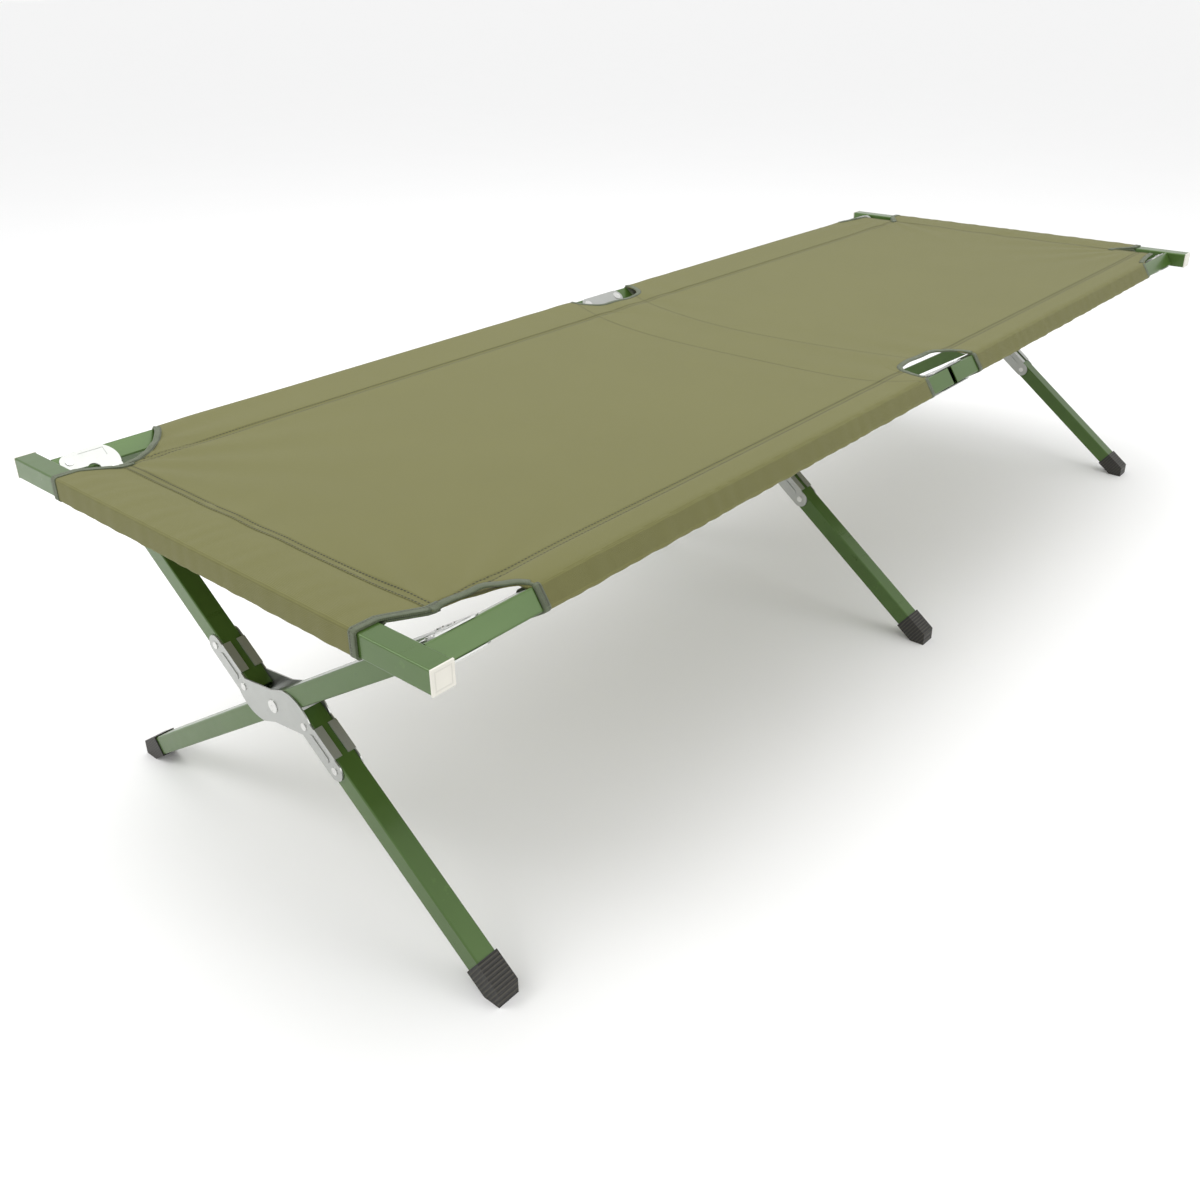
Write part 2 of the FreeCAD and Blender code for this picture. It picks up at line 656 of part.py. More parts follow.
for end, direction in ENDS.items():
    bar_x = direction * (dim["overall"] / 2 - half)
    tube = sleeve("2 * Dims.hem_side", -dim["hem_side"])
    tube.Placement = FreeCAD.Placement(V(bar_x, 0, dim["bar_height"]), TURN_TO_BAR)
    outer = half + dim["fabric_room"] + dim["fabric"]
    tongue_end = dim["overall"] / 2 - half - outer + 0.5
    tongue_x = -tongue_end if direction < 0 else dim["hem_end"]
    tongue_z = dim["bar_height"] + outer - dim["fabric"]
    tongue = block(str(tongue_end - dim["hem_end"]), "2 * Dims.cut_side", "Dims.fabric",
                   (tongue_x, -dim["cut_side"], tongue_z))
    keep(fuse([tube, tongue]), f"hem_{end}")


def cover(corners):
    """A flat stretch of fabric from its left-hand outline, mirrored to the right-hand side."""
    mirrored = []
    for point in reversed(corners):
        mirrored.append((*point[:-1], -point[-1]))
    body = pressed("XY_Plane", 0, corners + mirrored, "Dims.fabric")
    body.Placement.Base = V(0, 0, dim["cover_bottom"])
    return body


edge = dim["cover_side"]
waist = dim["waist_side"]
waist_bow = 14.0
sleeve_front_end = -dim["sleeve_front"]
end_gap = 0.3
cover_end = dim["hem_end"] - end_gap
corner_bow = [(cover_end, dim["cut_side"]), (cover_end - 45, dim["cut_side"] + 22), (dim["sleeve_end"] - 6, edge)]
front_edge = [
    (-corner_bow[0][0], corner_bow[0][1]),
    ("arc", -corner_bow[1][0], corner_bow[1][1]),
    (-corner_bow[2][0], corner_bow[2][1]),
    (sleeve_front_end, edge),
    ("arc", sleeve_front_end + 8, waist + waist_bow),
    (front_pivot - end_gap, waist),
]
middle_edge = [(front_pivot, waist), (rear_pivot, waist)]
rear_edge = [
    (rear_pivot + end_gap, waist),
    ("arc", dim["sleeve_rear"] - 10, waist + waist_bow),
    (dim["sleeve_rear"], edge),
    (corner_bow[2][0], corner_bow[2][1]),
    ("arc", corner_bow[1][0], corner_bow[1][1]),
    corner_bow[0],
]
keep(cover(front_edge), "cover_front")
keep(cover(middle_edge), "cover_middle")
keep(cover(rear_edge), "cover_rear")

doc.recompute()
failed = [thing.Name for thing in doc.Objects if {"Invalid", "Error"} & set(thing.State)]
if failed:
    raise RuntimeError(f"objects that failed to compute: {failed}")
for node in nodes:
    if node.Shape.isNull() or not node.Shape.isValid():
        raise RuntimeError(f"sub-part without a valid shape: {node.Label}")
    solids = len(node.Shape.Solids)
    print(f"{node.Label}: {solids} solid(s), {node.Shape.Volume:.0f} mm3")
os.makedirs("parts", exist_ok=True)
for node in nodes:
    node.Shape.exportStep(f"parts/{node.Label}.step")
print(f"{len(nodes)} sub-parts; straight lean {straight_lean:.3f}, split lean {split_lean:.3f}")
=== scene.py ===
import json
import math

import bmesh
import bpy
import numpy as np
from mathutils import Matrix, Vector


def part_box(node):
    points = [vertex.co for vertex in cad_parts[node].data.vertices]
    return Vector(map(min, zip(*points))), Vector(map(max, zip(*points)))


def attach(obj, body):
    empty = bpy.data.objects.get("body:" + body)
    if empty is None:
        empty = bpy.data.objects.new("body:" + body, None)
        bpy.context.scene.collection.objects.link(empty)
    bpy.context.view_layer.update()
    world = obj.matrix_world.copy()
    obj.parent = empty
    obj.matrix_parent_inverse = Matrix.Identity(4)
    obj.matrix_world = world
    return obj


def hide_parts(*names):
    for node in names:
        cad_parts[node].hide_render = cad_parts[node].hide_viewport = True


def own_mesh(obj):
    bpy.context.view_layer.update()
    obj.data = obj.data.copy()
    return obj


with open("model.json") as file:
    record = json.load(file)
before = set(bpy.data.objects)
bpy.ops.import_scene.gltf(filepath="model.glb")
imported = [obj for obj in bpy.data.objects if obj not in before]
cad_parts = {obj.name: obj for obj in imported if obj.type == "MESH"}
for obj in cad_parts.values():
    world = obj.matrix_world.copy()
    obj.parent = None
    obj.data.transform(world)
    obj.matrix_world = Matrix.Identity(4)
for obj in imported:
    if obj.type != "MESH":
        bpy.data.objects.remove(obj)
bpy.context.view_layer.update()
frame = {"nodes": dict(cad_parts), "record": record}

bl_info = {
    "name": "Folding Cot",
    "version": (1, 0, 0),
    "blender": (4, 5, 0),
    "location": "View3D > Sidebar > Cot",
    "description": "Canvas, finishes and studio for a folding cot on crossing legs",
    "category": "Object",
}

# Places that the frame gives, in metres.
JOINTS = {joint["name"]: joint for joint in frame["record"]["behaviour"]["joints"]}
FLOOR_LEVEL = 0.0


def middle(node):
    """Centre of a node's box."""
    low, high = (np.array(corner, float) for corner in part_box(node))
    return (low + high) / 2


RAILS = {"left": middle("rail_front_left"), "right": middle("rail_front_right")}
CROSSING = np.array(JOINTS["scissor"]["pos_m"], float)
SPLIT_AXIS = JOINTS["fold"]["axis"]
LEAN = {
    "left": math.atan2(-SPLIT_AXIS[1], SPLIT_AXIS[2]),
    "right": math.atan2(RAILS["right"][2] - CROSSING[2], -RAILS["right"][1]),
}
OUTWARD = {"left": 1.0, "right": -1.0}
FOLD_LINES = (JOINTS["fold"]["pos_m"][0], JOINTS["fold_rear"]["pos_m"][0])
COVER_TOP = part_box("cover_front")[1][2]
HALF_TUBE = (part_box("head_bar")[1][0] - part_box("head_bar")[0][0]) / 2


def rail_axes(side):
    """Unit vectors in Y and Z: out along the leg, and square to the rail's upper face."""
    lean = LEAN[side]
    out = np.array([OUTWARD[side] * math.cos(lean), math.sin(lean)])
    square = np.array([-OUTWARD[side] * math.sin(lean), math.cos(lean)])
    return out, square


# Finishes: a material is written as expressions on wrapped sockets.


class Wire:
    """A socket that adds Math nodes when it is used in an expression."""

    def __init__(self, finish, socket):
        self.finish = finish
        self.socket = socket

    def math(self, operation, *others, clamp=False):
        settings = {"operation": operation, "use_clamp": clamp}
        return self.finish.node("ShaderNodeMath", settings, dict(enumerate((self, *others))))

    def __add__(self, other):
        return self.math("ADD", other)

    __radd__ = __add__

    def __mul__(self, other):
        return self.math("MULTIPLY", other)

    __rmul__ = __mul__

    def __sub__(self, other):
        return self.math("SUBTRACT", other)

    def __rsub__(self, other):
        return self.finish.node(
            "ShaderNodeMath", {"operation": "SUBTRACT"}, {0: other, 1: self}
        )

    def __pow__(self, other):
        return self.math("POWER", other)

    def __abs__(self):
        return self.math("ABSOLUTE")

    def above(self, limit):
        return self.math("GREATER_THAN", limit)

    def sine(self):
        return self.math("SINE")

    def wave(self, pitch):
        """Runs from 0 to 1 and back over each pitch."""
        return (self * (2 * math.pi / pitch)).sine() * 0.5 + 0.5

    def band(self, centre, reach, soft):
        """1 within a reach of a centre, falling to 0 over a soft edge."""
        return ((reach + soft) - abs(self - centre)).math("DIVIDE", soft, clamp=True)


class Finish:
    """A material with one main shader, built through one node-adding method."""

    def __init__(self, name, **fixed):
        self.material = bpy.data.materials.new(name)
        self.material.use_nodes = True
        self.tree = self.material.node_tree
        self.shader = self.tree.nodes["Principled BSDF"]
        for socket, value in fixed.items():
            self.shader.inputs[socket.replace("_", " ")].default_value = value

    def node(self, kind, settings=None, inputs=None, output=0):
        """Add a node: its settings first, then the values or wires of its sockets."""
        added = self.tree.nodes.new(kind)
        for name, value in (settings or {}).items():
            setattr(added, name, value)
        for name, value in (inputs or {}).items():
            if isinstance(value, Wire):
                self.tree.links.new(value.socket, added.inputs[name])
            else:
                added.inputs[name].default_value = value
        return Wire(self, added.outputs[output])

    def object_place(self):
        return self.node("ShaderNodeTexCoord", output="Object")

    def parts(self, vector):
        """The three numbers of a vector."""
        return [self.node("ShaderNodeSeparateXYZ", inputs={0: vector}, output=axis) for axis in range(3)]

    def surface_place(self):
        """Distance along and across the cloth, from the piece's own map."""
        return self.parts(self.node("ShaderNodeUVMap", {"uv_map": "cloth"}))[:2]

    def noise(self, scale, detail=3.0, roughness=0.5, stretch=(1.0, 1.0, 1.0)):
        place = self.node("ShaderNodeMapping", inputs={"Vector": self.object_place(), "Scale": stretch})
        return self.node(
            "ShaderNodeTexNoise",
            inputs={"Vector": place, "Scale": scale, "Detail": detail, "Roughness": roughness},
        )

    def blend(self, factor, first, second):
        """A colour between two others."""
        inputs = {"Factor": factor, 6: first, 7: second}
        return self.node("ShaderNodeMix", {"data_type": "RGBA"}, inputs, output=2)

    def raise_surface(self, height, distance, strength=1.0):
        inputs = {"Height": height, "Distance": distance, "Strength": strength}
        self.feed("Normal", self.node("ShaderNodeBump", inputs=inputs))

    def feed(self, socket, wire):
        self.tree.links.new(wire.socket, self.shader.inputs[socket])


def colour(values, shade=1.0):
    """A shader colour from an RGB property, darkened or lightened."""
    return (*(channel * shade for channel in values[:3]), 1.0)


def enamel_finish(shades):
    """Glossy metallic enamel with a fine flake, soft streaks along the tubes and faint rubbing."""
    finish = Finish("green_enamel", Metallic=0.3, Coat_Weight=0.25, Coat_Roughness=0.12)
    cloud = finish.noise(9.0, 4.0)
    streak = finish.noise(60.0, 2.0, stretch=(0.15, 1.0, 1.0))
    flake = finish.noise(2600.0, 2.0)
    rubbed = finish.noise(38.0, 6.0, 0.7).above(0.66) * 0.35
    tone = finish.blend(cloud, colour(shades.enamel, 0.82), colour(shades.enamel, 1.16))
    tone = finish.blend(flake * 0.35, tone, colour(shades.enamel, 1.9))
    tone = finish.blend(rubbed * 0.4, tone, colour(shades.enamel, 2.4))
    finish.feed("Base Color", tone)
    finish.feed("Roughness", streak * 0.14 + flake * 0.08 + 0.2)
    finish.raise_surface(flake * 0.6 + streak * 0.4, 0.00006, 0.35)
    return finish.material


def pressed_finish(shades):
    """Bright pressed aluminium with a satin grain, tumbled dimples and faint scuffs."""
    finish = Finish("pressed_aluminium", Metallic=0.72)
    cloud = finish.noise(45.0, 3.0)
    grain = finish.noise(900.0, 3.0, stretch=(1.0, 0.25, 1.0))
    scuff = finish.noise(130.0, 6.0, 0.72).above(0.64) * 0.5
    tone = finish.blend(cloud, colour(shades.pressed, 0.9), colour(shades.pressed, 1.06))
    finish.feed("Base Color", finish.blend(scuff * 0.35, tone, colour(shades.pressed, 0.62)))
    finish.feed("Roughness", grain * 0.06 + scuff * 0.14 + 0.26)
    finish.raise_surface(grain * 0.3 + cloud * 0.8, 0.00005, 0.12)
    return finish.material


def rivet_finish(shades):
    """Satin steel, turned at the heads."""
    finish = Finish("rivet_steel", Metallic=1.0)
    cloud = finish.noise(320.0, 4.0)
    finish.feed("Base Color", finish.blend(cloud, colour(shades.steel, 0.8), colour(shades.steel, 1.08)))
    finish.feed("Roughness", cloud * 0.2 + 0.2)
    finish.raise_surface(cloud, 0.00008, 0.4)
    return finish.material


def cap_finish(shades):
    """Cream moulded plastic, with a sunk border round the face of each cap, darkened by painted shade in the
    groove.
    """
    finish = Finish("cream_cap", Coat_Weight=0.25, Coat_Roughness=0.25)
    bar = middle("head_bar")
    x, _, z = finish.parts(finish.object_place())
    square = (abs(abs(x) - abs(float(bar[0])))).math("MAXIMUM", abs(z - float(bar[2])))
    border = square.band(0.0092, 0.0005, 0.0005)
    mould = finish.noise(700.0, 3.0)
    soil = finish.noise(70.0, 5.0, 0.65)
    tone = finish.blend(soil, colour(shades.cap, 0.93), colour(shades.cap, 1.03))
    # The sunk border is drawn darker: painted shade in the groove.
    finish.feed("Base Color", finish.blend(border * 0.35, tone, colour(shades.cap, 0.68)))
    finish.feed("Roughness", mould * 0.14 + 0.28)
    finish.raise_surface(mould * 0.12 - border, 0.0004, 0.5)
    return finish.material


def plug_finish(shades):
    """Matt black nylon with a fine moulded grain."""
    finish = Finish("nylon_plug")
    grain = finish.noise(1400.0, 3.0)
    finish.feed("Base Color", finish.blend(grain, colour(shades.rubber, 0.8), colour(shades.rubber, 1.7)))
    finish.feed("Roughness", grain * 0.2 + 0.45)
    finish.raise_surface(grain, 0.0001, 0.4)
    return finish.material


def rubber_finish(shades):
    """Moulded rubber with ridges across the foot and dusty high spots."""
    finish = Finish("rubber_foot")
    _, y, z = finish.parts(finish.object_place())
    ridge = (abs(y) - z * 0.7).wave(0.0056).math("SMOOTH_MIN", 0.62)
    dust = finish.noise(240.0, 5.0, 0.7)
    worn = ridge.above(0.58) * dust
    finish.feed("Base Color", finish.blend(worn * 0.7, colour(shades.rubber), colour(shades.rubber_worn)))
    finish.feed("Roughness", dust * 0.25 + 0.42)
    finish.raise_surface(ridge + dust * 0.12, 0.0009, 0.8)
    return finish.material


def canvas_height(finish, along, across):
    """The canvas's relief: ribs along the cloth crossed by finer threads."""
    rib = across.wave(0.0019)
    thread = along.wave(0.0011)
    slub = finish.noise(420.0, 3.0, stretch=(0.4, 1.0, 1.0))
    return rib, thread, rib * 0.6 + thread * 0.3 + slub * 0.25


def canvas_finish(shades, name, seams):
    """Ribbed khaki canvas, with painted shade between the ribs and a painted highlight on their crests. Seams
    are masks with twin rows of stitches and painted shade along the troughs they draw.
    """
    finish = Finish(name, Sheen_Weight=0.08, Sheen_Roughness=0.6, Specular_IOR_Level=0.18)
    along, across = finish.surface_place()
    rib, thread, relief = canvas_height(finish, along, across)
    cloud = finish.noise(5.5, 5.0, 0.62)
    mottle = finish.noise(75.0, 4.0, 0.6)
    tone = finish.blend(cloud * 0.6 + mottle * 0.4, colour(shades.canvas, 0.9), colour(shades.canvas, 1.1))
    # Painted shade: the cloth is drawn darker in the grooves between the ribs.
    tone = finish.blend((1 - rib) * 0.42, tone, colour(shades.canvas, 0.62))
    # Painted highlight: lighter where the threads cross the rib crests.
    tone = finish.blend(thread * rib * 0.3, tone, colour(shades.canvas, 1.35))
    if seams:
        fold, stitch = seams(along, across)
        # Painted shade along the seam troughs.
        tone = finish.blend(fold * 0.2, tone, colour(shades.canvas, 0.62))
        tone = finish.blend(stitch * 0.9, tone, colour(shades.thread))
        relief = relief - fold * 2.2 + stitch * 1.1
    finish.feed("Base Color", tone)
    finish.feed("Roughness", rib * 0.1 + mottle * 0.12 + 0.72)
    finish.raise_surface(relief, 0.00035, 0.75)
    return finish.material


def stitch_row(run, offset, pitch=0.0046, reach=0.0007):
    """A row of short stitches, at an offset across the run, with bare cloth between them."""
    return offset.band(0.0, reach, 0.0003) * run.wave(pitch).above(0.3)


def twin_rows(run, offset, spread=0.0036):
    """Two rows of stitches side by side, and the shallow trough that they draw the cloth into."""
    trough = offset.band(0.0, spread + 0.0008, 0.0022)
    stitches = stitch_row(run, offset - spread).math("MAXIMUM", stitch_row(run, offset + spread))
    return trough, stitches


# Seams of the lying surface, in metres: the turned side edges, and two curved joins near the hinge.
SIDE_SEAM = {"left": 0.238, "right": -0.289}
END_SEAM = 0.9165


def join_lines(across):
    """Along-the-cot places of the front and rear joins, as polynomials of the place across."""
    left = across.math("MAXIMUM", 0.0)
    right = across.math("MINIMUM", 0.0)
    front = left * left * 0.45 + left ** 4.0 * 2.3 + (right * right) ** 4.0 * 340.0 - 0.120
    rear = left * left * 0.8 + right * right * 0.35 - 0.008
    return front, rear


def surface_seams(along, across):
    """All seams of the lying surface as one trough mask and one stitch mask."""
    folds, stitches = [], []
    for place in SIDE_SEAM.values():
        trough, rows = twin_rows(along, across - place)
        folds.append(trough)
        stitches.append(rows)
    trough, rows = twin_rows(across, abs(along) - END_SEAM)
    folds.append(trough)
    stitches.append(rows)
    for line in join_lines(across):
        offset = along - line
        folds.append(offset.band(0.0, 0.0006, 0.0012) * 0.8)
        stitches.append(stitch_row(across, offset, 0.003, 0.0004))
    fold, stitch = folds[0], stitches[0]
    for more in folds[1:]:
        fold = fold.math("MAXIMUM", more)
    for more in stitches[1:]:
        stitch = stitch.math("MAXIMUM", more)
    return fold, stitch


def tape_finish(shades):
    """Woven edge tape: a grey-green herringbone with pale picks and a stitched line."""
    finish = Finish("edge_tape", Sheen_Weight=0.2, Specular_IOR_Level=0.25)
    along, across = finish.surface_place()
    slant = abs(across.wave(0.0042) - 0.5) * 0.004
    pick = (along + slant).wave(0.0016)
    cord = across.wave(0.0012)
    mottle = finish.noise(180.0, 4.0, 0.65)
    tone = finish.blend(pick, colour(shades.tape, 0.55), colour(shades.tape, 1.3))
    tone = finish.blend(mottle * 0.5, tone, colour(shades.tape_pale))
    stitch = stitch_row(along, across - 0.0062, 0.003)
    finish.feed("Base Color", finish.blend(stitch * 0.7, tone, colour(shades.thread)))
    finish.feed("Roughness", cord * 0.15 + 0.68)
    finish.raise_surface(pick * 0.7 + cord * 0.4, 0.0005, 0.8)
    return finish.material


# Meshes: whole arrays of points, put into a mesh in one go.


def make_piece(name, points, faces, uv, material, flat=0):
    """A mesh object from points (n, 3), quads (m, 4) and cloth places; its last faces may be flat."""
    mesh = bpy.data.meshes.new(name)
    mesh.from_pydata(points.tolist(), [], faces.tolist())
    layer = mesh.uv_layers.new(name="cloth")
    layer.data.foreach_set("uv", uv[faces.reshape(-1)].astype(np.float32).reshape(-1))
    mesh.polygons.foreach_set("use_smooth", np.arange(len(faces)) < len(faces) - flat)
    mesh.materials.append(material)
    mesh.update()
    piece = bpy.data.objects.new(name, mesh)
    bpy.context.scene.collection.objects.link(piece)
    return piece


def grid_faces(rows, columns, wrap=False):
    """Quads of a grid of points; with wrap, the last column joins the first."""
    across = columns if wrap else columns - 1
    row, column = np.meshgrid(np.arange(rows - 1), np.arange(across), indexing="ij")
    after = (column + 1) % columns
    here, ahead = row * columns, (row + 1) * columns
    quads = np.stack([here + column, ahead + column, ahead + after, here + after], axis=-1)
    return quads.reshape(-1, 4)


def face_outwards(piece):
    """Turn the faces of a closed shell outwards."""
    shell = bmesh.new()
    shell.from_mesh(piece.data)
    bmesh.ops.recalc_face_normals(shell, faces=shell.faces)
    shell.to_mesh(piece.data)
    shell.free()


def cloth_shell(name, upper, lower, uv, material):
    """A closed sheet between two grids of points (rows, columns, 3), joined round the rim."""
    rows, columns = upper.shape[:2]
    count = rows * columns
    top = grid_faces(rows, columns)
    bottom = top[:, ::-1] + count
    number = np.arange(count).reshape(rows, columns)
    rim = np.concatenate([number[:-1, 0], number[-1, :-1], number[:0:-1, -1], number[0, :0:-1]])
    rim_next = np.roll(rim, -1)
    side = np.stack([rim, rim_next, rim_next + count, rim + count], axis=-1)
    points = np.concatenate([upper.reshape(-1, 3), lower.reshape(-1, 3)])
    places = np.concatenate([uv.reshape(-1, 2)] * 2)
    piece = make_piece(name, points, np.concatenate([top, bottom, side]), places, material, flat=len(side))
    face_outwards(piece)
    return piece


def smooth_step(value, start, end):
    """0 before start, 1 after end, and an S-curve between."""
    share = np.clip((value - start) / (end - start), 0.0, 1.0)
    return share * share * (3 - 2 * share)


def creases(x, y):
    """Fine pulls that fan from each corner and hinge cut-out: narrow waves that fade with distance."""
    lift = np.zeros_like(x)
    for corner_x, corner_y, turn, size in (
        (-0.90, 0.25, -0.62, 0.0016),
        (-0.90, -0.29, 0.72, 0.0019),
        (0.90, 0.25, math.pi + 0.62, 0.0013),
        (0.90, -0.25, math.pi - 0.62, 0.0013),
    ):
        along = (x - corner_x) * math.cos(turn) + (y - corner_y) * math.sin(turn)
        side = -(x - corner_x) * math.sin(turn) + (y - corner_y) * math.cos(turn)
        fan = np.arctan2(side, np.maximum(along, 1e-4) + 0.05)
        fade = np.exp(-np.hypot(along, side) / 0.16) * smooth_step(along, -0.02, 0.05)
        lift += size * fade * np.sin(fan * 17.0 + corner_x)
    for hinge_x in FOLD_LINES:
        for edge_y in (0.277, -0.277):
            reach = np.hypot(x - hinge_x, y - edge_y)
            lift += 0.0007 * np.exp(-reach / 0.09) * np.sin((x - hinge_x) * 75.0)
    hem_zone = np.exp(-((np.abs(x) - 0.94) / 0.05) ** 2)
    lift += 0.0008 * hem_zone * np.sin(y * 46.0 + np.sin(y * 17.0) * 2.0) * (0.4 + 0.6 * (y > -0.1))
    return lift


def surface_level(x, y):
    """Height of the lying surface: a shallow sag between taut edges, with creases and seam troughs."""
    across = np.clip(1 - (y / 0.32) ** 2, 0, 1)
    lengthwise = np.clip(1 - (x / 0.95) ** 2, 0, 1) ** 0.4
    deepest_sag = 0.0038
    sag = deepest_sag * across * lengthwise
    trough = np.zeros_like(x)
    for place in SIDE_SEAM.values():
        trough += np.exp(-(((y - place) / 0.0035) ** 2))
    trough += np.exp(-(((np.abs(x) - END_SEAM) / 0.0035) ** 2))
    raised_turn = smooth_step(y, SIDE_SEAM["left"], SIDE_SEAM["left"] + 0.004)
    raised_turn += smooth_step(-y, -SIDE_SEAM["right"], -SIDE_SEAM["right"] + 0.004)
    return COVER_TOP - sag + creases(x, y) - 0.0006 * trough + 0.0005 * raised_turn


# Outline of the lying surface: how far it reaches to each side, along the cot.
SLEEVE_SPANS = {
    "front": (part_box("sleeve_front_left")[0][0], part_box("sleeve_front_left")[1][0]),
    "rear": (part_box("sleeve_rear_left")[0][0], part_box("sleeve_rear_left")[1][0]),
}
FULL_SIDE = 0.3275
WAIST_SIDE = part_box("cover_middle")[1][1]
CORNER_SIDE = {
    ("front", "left"): 0.243,
    ("front", "right"): 0.296,
    ("rear", "left"): 0.245,
    ("rear", "right"): 0.245,
}


def reach_to_side(x, half, side):
    """Half width: full along the sleeves, drawn in at the corner cut-out and at the hinge cut-out."""
    start, end = SLEEVE_SPANS[half]
    outer, inner = (start, end) if half == "front" else (end, start)
    span = abs(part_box("hem_head")[1][0] - outer)
    corner = np.clip((np.abs(x) - abs(outer)) / span, 0.0, 1.0)
    depth = FULL_SIDE - CORNER_SIDE[half, side]
    corner_pull = depth * np.sin(corner * math.pi / 2) ** 0.75
    fold_line = FOLD_LINES[0] if half == "front" else FOLD_LINES[1]
    waist_run = np.clip((x - inner) / (fold_line - inner), 0.0, 1.0)
    waist_pull = (FULL_SIDE - WAIST_SIDE) * np.sin(waist_run * math.pi / 2) ** 0.55
    return FULL_SIDE - corner_pull - waist_pull


def stations(start, end, step, extra=(), tight=()):
    """Evenly spaced places, more of them close to each extra place, and one just beside each tight end."""
    even = np.linspace(start, end, max(int(abs(end - start) / step), 2) + 1)
    near = [place + offset for place in extra for offset in np.linspace(-0.009, 0.009, 13)]
    near += [place + offset for place in tight for offset in (-0.0003, 0.0003)]
    inside = [place for place in near if min(start, end) < place < max(start, end)]
    return np.unique(np.round(np.concatenate([even, inside]), 6))


# Thickness of the cloth, its room round a tube, how far tape stands proud and how wide it is on a sleeve,
# and how far a hem's tongue runs under the surface.
CLOTH = 0.0012
SNUG_ROOM = 0.0004
TAPE_RISE = 0.0007
SLEEVE_TAPE = 0.009
TONGUE_TUCK = 0.014


HALVES = {"front": "scissor", "middle": "middle_scissor", "rear": "rear_scissor"}
BODIES = {
    ("front", "left"): "front_left",
    ("front", "right"): "front_right",
    ("middle", "left"): "link_left",
    ("middle", "right"): "link_right",
    ("rear", "left"): "rear_left",
    ("rear", "right"): "rear_right",
}


def hang_with(piece, part, side):
    """Ride a side's body, on a mesh of its own."""
    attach(piece, BODIES[part, side])
    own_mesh(piece)


def cover_rows(part):
    """Places along the cot for one stretch of the surface."""
    cover_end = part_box("hem_foot")[0][0]
    if part == "front":
        return stations(-cover_end, FOLD_LINES[0], 0.0075, (-END_SEAM,), FOLD_LINES)
    if part == "rear":
        return stations(FOLD_LINES[1], cover_end, 0.0075, (END_SEAM,), FOLD_LINES)
    return stations(*FOLD_LINES, 0.005, (), FOLD_LINES)


def edge_reach(x, part, side):
    """Half width of a stretch at each place along it."""
    if part == "middle":
        bow = 1 - ((x - sum(FOLD_LINES) / 2) / ((FOLD_LINES[1] - FOLD_LINES[0]) / 2)) ** 2
        return WAIST_SIDE - 0.002 * np.clip(bow, 0, 1)
    return reach_to_side(x, part, side)


def cover_piece(part, side, material):
    """Half a stretch: rows along the cot, columns from the middle out, then an arc down over the sleeve."""
    rows = cover_rows(part)
    share = stations(0.0, 1.0, 0.021, (abs(SIDE_SEAM[side]) / FULL_SIDE,), (0.0,))
    x, along_share = np.meshgrid(rows, share, indexing="ij")
    reach = edge_reach(rows, part, side)[:, None]
    y = OUTWARD[side] * along_share * reach
    z = surface_level(x, y)
    full = smooth_step(reach, FULL_SIDE - 0.006, FULL_SIDE - 0.0005)
    turn = np.linspace(0, 1, 7)[None, 1:]
    roll = 0.0067
    radius = roll - 0.0030 * turn
    angle = turn * math.radians(72)
    roll_y = y[:, -1:] + OUTWARD[side] * (np.sin(angle) * radius * full + 0.0002 * turn)
    roll_z = z[:, -1:] + (np.cos(angle) * radius - roll) * full
    x = np.concatenate([x, np.repeat(rows[:, None], turn.size, axis=1)], axis=1)
    y = np.concatenate([y, roll_y], axis=1)
    z = np.concatenate([z, roll_z], axis=1)
    upper = np.stack([x, y, z], axis=-1)
    lower = upper.copy()
    lower[..., 2] -= CLOTH
    piece = cloth_shell(f"canvas_{part}_{side}", upper, lower, upper[..., :2], material)
    hang_with(piece, part, side)
    if side == "left":
        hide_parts(f"cover_{part}")
    return piece


def swept_tape(name, path, inward, material, width=0.0085, thickness=0.0030):
    """A flat oval carried along a path: width inwards from the path, thickness square to it."""
    turn = np.linspace(0, 2 * math.pi, 17)[:-1]
    flat = np.sign(np.cos(turn)) * np.abs(np.cos(turn)) ** 0.5 * width / 2 + width / 2 - 0.0012
    rise = np.sign(np.sin(turn)) * np.abs(np.sin(turn)) ** 0.7 * thickness / 2
    points = path[:, None, :] + inward[:, None, :] * flat[None, :, None]
    points[..., 2] += rise[None, :] - CLOTH / 2
    count, ring = points.shape[:2]
    run = np.concatenate([[0.0], np.cumsum(np.linalg.norm(np.diff(path, axis=0), axis=1))])
    uv = np.stack(np.broadcast_arrays(run[:, None], flat[None, :]), axis=-1)
    faces = grid_faces(count, ring, wrap=True)
    near, far = np.arange(ring // 2 - 1), ring - 1 - np.arange(ring // 2 - 1)
    cap = np.stack([near, near + 1, far - 1, far], axis=-1)
    faces = np.concatenate([faces, cap, cap + (count - 1) * ring])
    piece = make_piece(name, points.reshape(-1, 3), faces, uv.reshape(-1, 2), material)
    face_outwards(piece)
    return piece


def edge_path(part, side, start, end, wave=0.0):
    """The surface's edge between two places along the cot, and the direction inwards from it."""
    fine = np.linspace(start, end, 400)
    reach = edge_reach(fine, part, side)
    run = np.concatenate([[0.0], np.cumsum(np.hypot(np.diff(fine), np.diff(reach)))])
    even = np.linspace(0, run[-1], 70)
    x = np.interp(even, run, fine)
    y = OUTWARD[side] * np.interp(even, run, reach)
    z = surface_level(x, y) + wave * np.sin(even / run[-1] * math.pi) * (1 + 0.35 * np.sin(even * 150.0))
    path = np.stack([x, y, z], axis=-1)
    tangent = np.gradient(path, axis=0)
    inward = np.stack([-tangent[:, 1], tangent[:, 0], np.zeros(len(x))], axis=-1)
    inward *= -OUTWARD[side] * np.sign(end - start)
    return path, inward / np.linalg.norm(inward, axis=1, keepdims=True)


